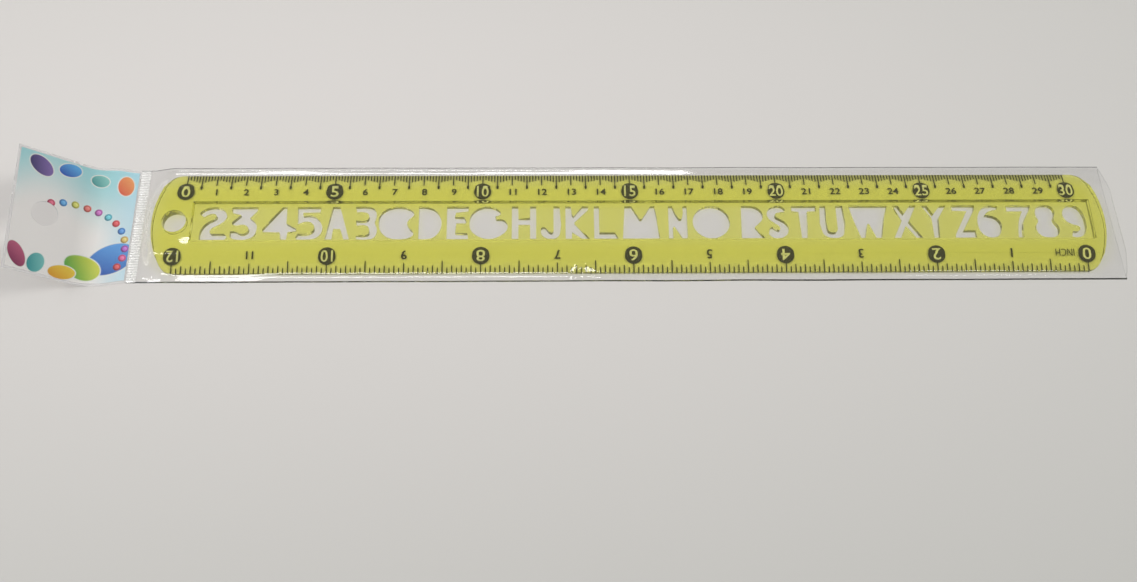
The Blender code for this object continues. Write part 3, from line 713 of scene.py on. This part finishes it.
def thicken(shape, faces, thickness):
    """Raise flat faces of a shape into a closed plate."""
    made = bmesh.ops.extrude_face_region(shape, geom=faces)["geom"]
    raised = [item for item in made if isinstance(item, bmesh.types.BMVert)]
    bmesh.ops.translate(shape, vec=(0, 0, thickness), verts=raised)
    bmesh.ops.recalc_face_normals(shape, faces=shape.faces)


def flat_plate(outline):
    """Closed flat plate of ink inside an outline."""
    shape = bmesh.new()
    low = print_z - print_thickness / 2
    base = shape.faces.new([shape.verts.new((x, y, low)) for x, y in outline])
    thicken(shape, [base], print_thickness)
    return close_shape(shape, "plate")


def figure_mesh(text, height, centre, z, thickness, turned, slim, weight):
    """A printed figure: its height, centre, whether it is turned round, its slimness and its weight."""
    curve = bpy.data.curves.new(text, "FONT")
    curve.body = text
    curve.size = 1.0
    curve.offset = weight
    curve.space_character = figure_spacing
    holder = add_object(text, curve)
    mesh = seen_mesh(holder)
    bpy.data.objects.remove(holder, do_unlink=True)
    xs = [v.co.x for v in mesh.vertices]
    ys = [v.co.y for v in mesh.vertices]
    size = height / (max(ys) - min(ys))
    middle = Vector(((max(xs) + min(xs)) / 2, (max(ys) + min(ys)) / 2, 0))
    mesh.transform(
        Matrix.Translation((centre[0], centre[1], z - thickness / 2))
        @ Matrix.Rotation(math.pi * turned, 4, "Z")
        @ Matrix.Diagonal((size * slim, size, 1, 1)) @ Matrix.Translation(-middle))
    shape = shape_from(mesh)
    bmesh.ops.remove_doubles(shape, verts=shape.verts, dist=stroke_join)
    thicken(shape, shape.faces[:], thickness)
    return close_shape(shape, mesh)


# The blade
def in_stencil_row(place):
    """Whether a place is inside the recess, where the letters are cut."""
    along = recess_left + recess_rim < place.x < recess_right - recess_rim
    return along and abs(place.y) < recess_half - recess_rim


def mark_outline(shape):
    """Weight the sharp edges of a shape outside the stencil row."""
    rounded = shape.edges.layers.float.new("outline_rounding")
    for edge in shape.edges:
        outside = all(not in_stencil_row(vertex.co) for vertex in edge.verts)
        if outside and edge.calc_face_angle(0) > outline_angle:
            edge[rounded] = 1.0


def mark_shoulders(mesh):
    """Weight the two long edges between the flat top and the slopes to the scales."""
    weights = mesh.attributes.new("bevel_weight_edge", "FLOAT", "EDGE")
    for edge in mesh.edges:
        ends = [mesh.vertices[index].co for index in edge.vertices]
        flat_top = all(abs(end.z - blade_top) < edge_tolerance for end in ends)
        on_line = all(abs(abs(end.y) - shoulder_y) < edge_tolerance for end in ends)
        if flat_top and on_line and ends[0].y * ends[1].y > 0:
            weights.data[edge.index].value = 1.0


def add_bevel(piece, name, width, segments, limit):
    """Bevel that is limited by weight or by angle."""
    bevel = piece.modifiers.new(name, "BEVEL")
    bevel.width = width
    bevel.segments = segments
    bevel.limit_method = limit
    return bevel


def dress_blade():
    """The moulding with its sharp edges eased, so that they catch the light."""
    shape = shape_from(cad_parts["blade"].data)
    bmesh.ops.remove_doubles(shape, verts=shape.verts, dist=sliver)
    bmesh.ops.dissolve_limit(shape, angle_limit=flat_angle, verts=shape.verts, edges=shape.edges)
    mark_outline(shape)
    mesh = close_shape(shape, "blade_moulding")
    piece = add_piece("blade_moulding", mesh, "lime", "ruler", "blade", "blade")
    mark_shoulders(mesh)
    smooth_with_creases(mesh, blade_crease_angle)
    add_bevel(piece, "rounded shoulders", shoulder_rounding, shoulder_segments, "WEIGHT")
    outline = add_bevel(piece, "rounded outline", outline_rounding, outline_segments, "WEIGHT")
    outline.edge_weight = "outline_rounding"
    outline.use_clamp_overlap = False
    easing = add_bevel(piece, "eased edges", edge_easing, easing_segments, "ANGLE")
    easing.angle_limit = easing_angle
    apply_modifiers(piece)
    without_slivers(piece.data)
    flatten = piece.modifiers.new("flat faces", "WEIGHTED_NORMAL")
    flatten.mode = "FACE_AREA"
    flatten.weight = 100
    flatten.keep_sharp = False
    apply_modifiers(piece)


# The scales
def disc(x, y, diameter, sides=48):
    """Round plate of print."""
    turn = 2 * math.pi / sides
    return flat_plate([
        (x + diameter / 2 * math.cos(k * turn), y + diameter / 2 * math.sin(k * turn)) for k in range(sides)])


def tick(x, inward, length):
    """Printed tick from the rear edge inwards at -1, or from the front edge at 1, narrower at its tip."""
    root_y = -inward * tick_edge
    tip_y = root_y + inward * length
    ends = [(x - tick_root, root_y), (x + tick_root, root_y), (x + tick_tip, tip_y), (x - tick_tip, tip_y)]
    return flat_plate(ends[::inward])


def badge_figure(number, x, y, turned):
    """Pale figure on a badge, wider where it is a single one."""
    slim = single_badge_figure_slimness if number < 10 else badge_figure_slimness
    z = print_z + badge_figure_rise * print_thickness
    return figure_mesh(
        str(number), badge_figure_height, (x, y), z, print_thickness / 2, turned, slim, badge_figure_weight)


def black_figure(text, height, centre, turned, slim, weight):
    """Black figure or unit on the blade's underside."""
    return figure_mesh(text, height, centre, print_z, print_thickness, turned, slim, weight)


def centimetre_scale():
    """Ticks, dots and badges of the centimetre scale, its figures, and those of its badges."""
    ticks, figures, pale = [], [], []
    for count in range(centimetres * ticks_per_centimetre + 1):
        x = centimetre_zero_x + count * MM
        number, place = divmod(count, ticks_per_centimetre)
        near = min(place, ticks_per_centimetre - place)
        if place == 0 and number % centimetres_per_badge == 0:
            ticks.append(tick(x, -1, badge_inset - badge_diameter / 2))
            ticks.append(disc(x, blade_edge - badge_inset, badge_diameter))
            pale.append(badge_figure(number, x, blade_edge - badge_inset, 0))
        elif place == 0:
            ticks.append(tick(x, -1, centimetre_tick))
            centre = (x + centimetre_figure_shift, blade_edge - centimetre_figure_inset)
            figures.append(black_figure(
                str(number), centimetre_figure_height, centre, 0, figure_slimness,
                centimetre_figure_weight))
        elif place * 2 == ticks_per_centimetre:
            ticks.append(tick(x, -1, half_centimetre_tick))
            ticks.append(disc(x, tick_edge - half_centimetre_tick, dot_diameter, 16))
        else:
            length = (shortest_millimetre_tick + millimetre_tick_growth * (near - 1)) * MM
            ticks.append(tick(x, -1, length))
    return ticks, figures, pale


def inch_scale():
    """Ticks and badges of the inch scale, its figures and unit, and the figures of its badges."""
    ticks, figures, pale = [], [], []
    for count in range(inches * ticks_per_inch + 1):
        x = inch_zero_x - count * inch / ticks_per_inch
        number, place = divmod(count, ticks_per_inch)
        if place == 0 and number % inches_per_badge == 0:
            ticks.append(tick(x, 1, badge_inset - badge_diameter / 2))
            ticks.append(disc(x, -blade_edge + badge_inset, badge_diameter))
            pale.append(badge_figure(number, x, -blade_edge + badge_inset, 1))
        elif place == 0:
            ticks.append(tick(x, 1, inch_tick))
            height = double_inch_figure_height if number > 9 else inch_figure_height
            figures.append(black_figure(
                str(number), height, (x, -blade_edge + inch_figure_inset), 1, figure_slimness,
                inch_figure_weight))
        elif place * 2 == ticks_per_inch:
            ticks.append(tick(x, 1, half_inch_tick))
        else:
            ticks.append(tick(x, 1, eighth_tick if place % 2 == 0 else sixteenth_tick))
    unit_centre = (inch_zero_x - unit_shift, -blade_edge + unit_inset)
    figures.append(black_figure("INCH", unit_height, unit_centre, 1, 1.0, 0.0))
    return ticks, figures, pale


def dress_scales():
    """Both scales: ticks, dots and badges in black, and their figures."""
    pale = []
    for unit, made in (("centimetre", centimetre_scale()), ("inch", inch_scale())):
        ticks, figures, badge_figures = made
        scale, numbers = unit + "_scale", unit + "_figures"
        add_piece(scale, join_shapes(scale, ticks), "ink", "ruler", "ink", unit + "_scale_print")
        add_piece(numbers, join_shapes(numbers, figures), "ink", "ruler", "ink")
        pale += badge_figures
    add_piece("badge_figures", join_shapes("badge_figures", pale), "pale ink", "ruler", "ink")


# The sleeve
def curve_through(points, place):
    """Value at a place on a smooth curve through points."""
    index = 0
    while index < len(points) - 2 and place > points[index + 1][0]:
        index += 1
    before, first = points[max(index - 1, 0)], points[index]
    last, after = points[index + 1], points[min(index + 2, len(points) - 1)]
    span = last[0] - first[0]
    share = min(max((place - first[0]) / span, 0.0), 1.0)
    leave = (last[1] - before[1]) / (last[0] - before[0]) * span
    arrive = (after[1] - first[1]) / (after[0] - first[0]) * span
    rise = last[1] - first[1]
    return first[1] + share * leave + share ** 2 * (3 * rise - 2 * leave - arrive) + share ** 3 * (
        leave + arrive - 2 * rise)


def ease(share):
    """Share eased at both ends."""
    share = min(max(share, 0.0), 1.0)
    return share * share * (3 - 2 * share)


def waviness(x, y, waves):
    """Soft noise from -1 to 1 at a place."""
    along, across, layer = waves
    return noise.noise(Vector((x * along, y * across, layer)))


def sleeve_edges(x):
    """Front and rear edges of the sleeve, drawn in towards the crimp."""
    share = ease((x - crimp_high.x) / flare_length)
    front = -crimp_half + (sleeve_front_y + crimp_half) * share
    rear = crimp_half + (sleeve_rear_y - crimp_half) * share
    sway = edge_sway * waviness(x, 0, edge_waves) * share
    return front + sway, rear + sway


def blade_end_x(y):
    """Where the blade's arched left end lies, for a place across it."""
    reach = min(abs(y), blade_edge - end_corner)
    return blade_low.x + end_arc_radius - math.sqrt(end_arc_radius ** 2 - reach ** 2)


def wrinkle_height(x, y):
    """What the wrinkles add to the film's height."""
    height = 0.0
    for centre_x, centre_y, length, width, crest, direction in wrinkles:
        turn = math.radians(direction)
        along = ((x / MM - centre_x) * math.cos(turn) + (y / MM - centre_y) * math.sin(turn)) / length
        across = ((y / MM - centre_y) * math.cos(turn) - (x / MM - centre_x) * math.sin(turn)) / width
        if along * along + across * across < wrinkle_reach ** 2:
            height += crest * MM * math.exp(-along * along - across * across)
    return height


def fold_height(x, y):
    """What the sharper folds add to the film's height."""
    height = 0.0
    place = Vector((x / MM, y / MM))
    for start_x, start_y, stop_x, stop_y, width, crest in folds:
        start, run = Vector((start_x, start_y)), Vector((stop_x - start_x, stop_y - start_y))
        share = (place - start).dot(run) / run.length_squared
        if 0 < share < 1:
            off = (place - start - run * share).length
            side = fold_crest - math.sqrt(off * off + fold_crest_rounding * width * width) / width
            ends = ease(share * fold_end_steepness), ease((1 - share) * fold_end_steepness)
            height += crest * MM * max(side, 0.0) * ends[0] * ends[1]
    return height


def crimp_rib(x, y):
    """Height of the crimp's ribs, which run along the ruler."""
    share = ease((x - crimp_low.x) / rib_fade) * ease((crimp_high.x - x) / rib_fade)
    return share * rib_height * (0.5 + 0.5 * math.cos(2 * math.pi * y / rib_pitch))


def film_height(x, y, front, rear):
    """Height of the upper film's underside."""
    points, half = (rear_drape, rear) if y > 0 else (front_drape, -front)
    reach = abs(y) / half * points[-1][0]
    swell = broad_swell * waviness(x, y, broad_waves) + short_swell * waviness(x, y, short_waves)
    place = reach + swell * ease(swell_strength - abs(reach - swell_centre) / swell_spread)
    height = curve_through(points, place) * MM
    if y < 0 and slack_start_x < x < slack_end_x:
        slack = ease((x - slack_start_x) / slack_start_fade) * ease((slack_end_x - x) / slack_end_fade)
        height += slack * (curve_through(slack_drape, place) * MM - height)
    ripple = ripple_height * (1 + waviness(x, y, ripple_waves))
    loose = ease((points[-1][0] - reach) / welded_margin)
    height += loose * (wrinkle_height(x, y) + fold_height(x, y) + ripple)
    low = film_lowest + crimp_rib(x, y)
    rise = ease((x - crimp_high.x) / (blade_end_x(y) - crimp_high.x + film_end_room))
    return low + max(height - low, 0) * rise


def across_sleeve(x, columns):
    """Places across the sleeve from front to rear, closer together over the slopes and margins."""
    front, rear = sleeve_edges(x)
    for step in range(columns + 1):
        share = step / columns * 2 - 1
        share = math.copysign(1 - (1 - abs(share)) ** margin_crowding, share)
        yield share * rear if share > 0 else -share * front


def skewed(x, y, z):
    """Point of the sleeve, moved along it towards the skew cut of the mouth."""
    share = ease((x - (sleeve_high.x - mouth_skew_length)) / mouth_skew_length)
    shift = mouth_skew * share * (sleeve_rear_y - y) / (sleeve_rear_y - sleeve_front_y)
    return (x + shift, y, z)


def film_stations():
    """Places along the sleeve, closer together at the blade's left end and over the folds."""
    stations = []
    x = film_start_x
    while x < sleeve_high.x - shortest_film_step:
        stations.append(x)
        fine = x < blade_low.x + fine_end_length or folds_start_x < x < folds_stop_x
        x += fine_film_step if fine else film_step
    stations.append(sleeve_high.x)
    return stations


def dress_sleeve():
    """Upper film draped over the blade, under film, and the welds along their long edges."""
    stations = film_stations()
    upper, under = [], []
    for x in stations:
        front, rear = sleeve_edges(x)
        upper.append([
            skewed(x, y, film_height(x, y, front, rear)) for y in across_sleeve(x, upper_columns)])
        under.append([skewed(x, y, 0.0) for y in across_sleeve(x, under_columns)])
    sheet_piece(
        "sleeve_upper_film", upper, film_thickness, "film", "sleeve", "film", "sleeve_top_panel",
        "sleeve_front_side_panel", "sleeve_rear_side_panel", "sleeve_end_panel")
    sheet_piece("sleeve_under_film", under, film_thickness, "film", "sleeve", "film", "sleeve_back_film")
    # The weld beads are real. Their grey film tint is painted shade for the dark line along the sleeve's
    # edges.
    welds = []
    for side in (0, 1):
        run = [skewed(x, sleeve_edges(x)[side], weld_z) for x in stations[::weld_stride]]
        welds.append(tube_mesh("weld", run, weld_diameter))
    add_piece("sleeve_edge_welds", join_shapes("sleeve_edge_welds", welds), "weld", "sleeve", "film")


def dress_crimp():
    """Crimped seal: the frosted weld under the upper film, with fine ribs that run along the ruler."""
    rows = []
    for x in (crimp_low.x, crimp_low.x + rib_fade, crimp_high.x - rib_fade, crimp_high.x):
        row = []
        for step in range(rib_columns + 1):
            y = -crimp_half + 2 * crimp_half * step / rib_columns
            row.append((x, y, crimp_z + crimp_rib(x, y)))
        rows.append(row)
    sheet_piece("crimp_ribs", rows, crimp_thickness, "crimp", "sleeve", "film", "crimp_seal", rim="milky")


# The header
def header_point(distance, y, height):
    """Point on the header: flat past the fold, then bent up and straight to its end."""
    slope = min(max(distance - header_flat_length, 0) / header_bend_radius, header_rise)
    flat = min(distance, header_flat_length)
    ramp = max(distance - header_flat_length - header_bend_radius * header_rise, 0)
    x = flat + header_bend_radius * math.sin(slope) + ramp * math.cos(slope)
    z = header_bend_radius * (1 - math.cos(slope)) + ramp * math.sin(slope)
    return (header_root_x - x + height * math.sin(slope), y, z + height * math.cos(slope))


def header_sheet(height, inset):
    """Rows of points over the header and their places on its print, in header widths."""
    rows, places = [], []
    for step in range(header_steps + 1):
        row, row_places = [], []
        for column in range(header_steps + 1):
            across = column / header_steps - 0.5
            length = header_length + header_end_skew * (0.5 + across) - inset * 1.5
            reach = inset / 2 + length * step / header_steps
            half = crimp_half + (header_width / 2 - crimp_half) * ease(reach / flare_length) - inset
            y = 2 * across * half
            row.append(header_point(reach, y, height))
            row_places.append((reach / header_width, y / header_width + 0.5))
        rows.append(row)
        places.append(row_places)
    return rows[::-1], places[::-1]


def round_hole(piece):
    """Punch the hang hole through a header sheet."""
    place = header_point(header_length - header_hole_inset, 0, 0)
    radius = header_hole_diameter / 2
    shape = bmesh.new()
    bmesh.ops.create_cone(
        shape, cap_ends=True, segments=header_hole_sides, radius1=radius, radius2=radius, depth=punch_depth,
        matrix=Matrix.Translation(place) @ Matrix.Rotation(header_rise, 4, "Y"))
    punch = add_object("punch", close_shape(shape, "punch"))
    cut = piece.modifiers.new("hang hole", "BOOLEAN")
    cut.object = punch
    cut.operation = "DIFFERENCE"
    cut.solver = "EXACT"
    apply_modifiers(piece)
    without_slivers(piece.data)
    bpy.data.objects.remove(punch, do_unlink=True)


def dress_header():
    """Printed header between its two clear films."""
    for name, node, height, inset, finish, slot in (
            ("header_under_film", "header_back_film", 0.0, 0.0, "milky", "film"),
            ("header_picture", "header_print", header_print_z, header_print_inset, "picture", "header_print"),
            ("header_upper_film", "header_front_film", header_upper_z, 0.0, "film", "film")):
        rows, places = header_sheet(height, inset)
        piece = sheet_piece(
            name, rows, film_thickness, finish, "header", slot, node, print_places=places, rim="milky")
        round_hole(piece)


# Table, light, view
def set_table():
    """Plain pale table top with a painted pool of light: paler round the ruler and darker away from it, where
    the light falls off.
    """
    material, tree = new_material("pale table with painted light pool")
    rough = uneven(tree, scale=6.0, low=0.5, high=0.7)[1]
    place = put(tree, "ShaderNodeTexCoord").outputs["Object"]
    # Painted light: the colour runs from the darker table outside the pool to the paler table inside it.
    off_centre = vector_maths(tree, "SUBTRACT", place, light_pool_centre)
    away = vector_maths(tree, "DIVIDE", off_centre, light_pool_reach)
    fall = vector_maths(tree, "DOT_PRODUCT", away, away)
    near = maths(tree, "EXPONENT", maths(tree, "MULTIPLY", fall, -1.0))
    colour = blend_colours(tree, near, table_colour_outside_painted_light, table_painted_light_colour)
    shader = put(
        tree, "ShaderNodeBsdfPrincipled", Base_Color=colour, Roughness=rough, Specular_IOR_Level=0.2)
    finish_surface(tree, shader.outputs[0])
    shape = bmesh.new()
    bmesh.ops.create_grid(
        shape, x_segments=1, y_segments=1, size=table_half, matrix=Matrix.Translation((0, 0, -table_drop)))
    table = add_object("table_top", close_shape(shape, "table_top"))
    table.data.materials.append(material)
    table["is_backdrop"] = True


def soft_light(name, place, width, height, power, colour, outline, mirrored):
    """Soft light turned towards the ruler: it lights surfaces, or is mirrored in them as glints."""
    light = bpy.data.lights.new(name, "AREA")
    light.shape = outline
    light.size = width
    light.size_y = height
    light.energy = power
    light.color = colour
    holder = add_object(name, light)
    holder.location = place
    holder.rotation_euler = (-Vector(place)).to_track_quat("-Z", "Y").to_euler()
    holder.visible_glossy = mirrored
    holder.visible_diffuse = not mirrored
    holder.visible_transmission = False


def set_light():
    """Even room light, two ceiling lights at the sides, and the windows and lamps that the film mirrors."""
    world = bpy.data.worlds.new("room")
    bpy.context.scene.world = world
    world.use_nodes = True
    tree = world.node_tree
    background = tree.nodes["Background"]
    background.inputs["Color"].default_value = room_colour
    glossy = put(tree, "ShaderNodeLightPath").outputs["Is Glossy Ray"]
    strength = maths(tree, "SUBTRACT", room_light, maths(tree, "MULTIPLY", glossy, room_dimming))
    tree.links.new(strength, background.inputs["Strength"])
    for light in ceiling_lights:
        soft_light(*light, ceiling_colour, "RECTANGLE", mirrored=False)
    for light in windows:
        soft_light(*light, window_colour, "RECTANGLE", mirrored=True)
    for light in lamps:
        soft_light(*light, window_colour, "ELLIPSE", mirrored=True)


def set_camera():
    """Camera where the photograph was taken from."""
    view = bpy.data.cameras.new("camera")
    view.sensor_width = camera_sensor
    view.lens = camera_lens
    view.clip_start = camera_nearest
    holder = add_object("camera", view)
    holder.location = camera_place
    holder.rotation_euler = [math.radians(angle) for angle in camera_turn]
    bpy.context.scene.camera = holder
    bpy.context.scene.view_settings.view_transform = "Standard"


set_camera()
set_table()
set_light()
dress_blade()
dress_scales()
dress_sleeve()
dress_crimp()
dress_header()

[[list(corner) for corner in box] for box in (cad_box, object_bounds())]
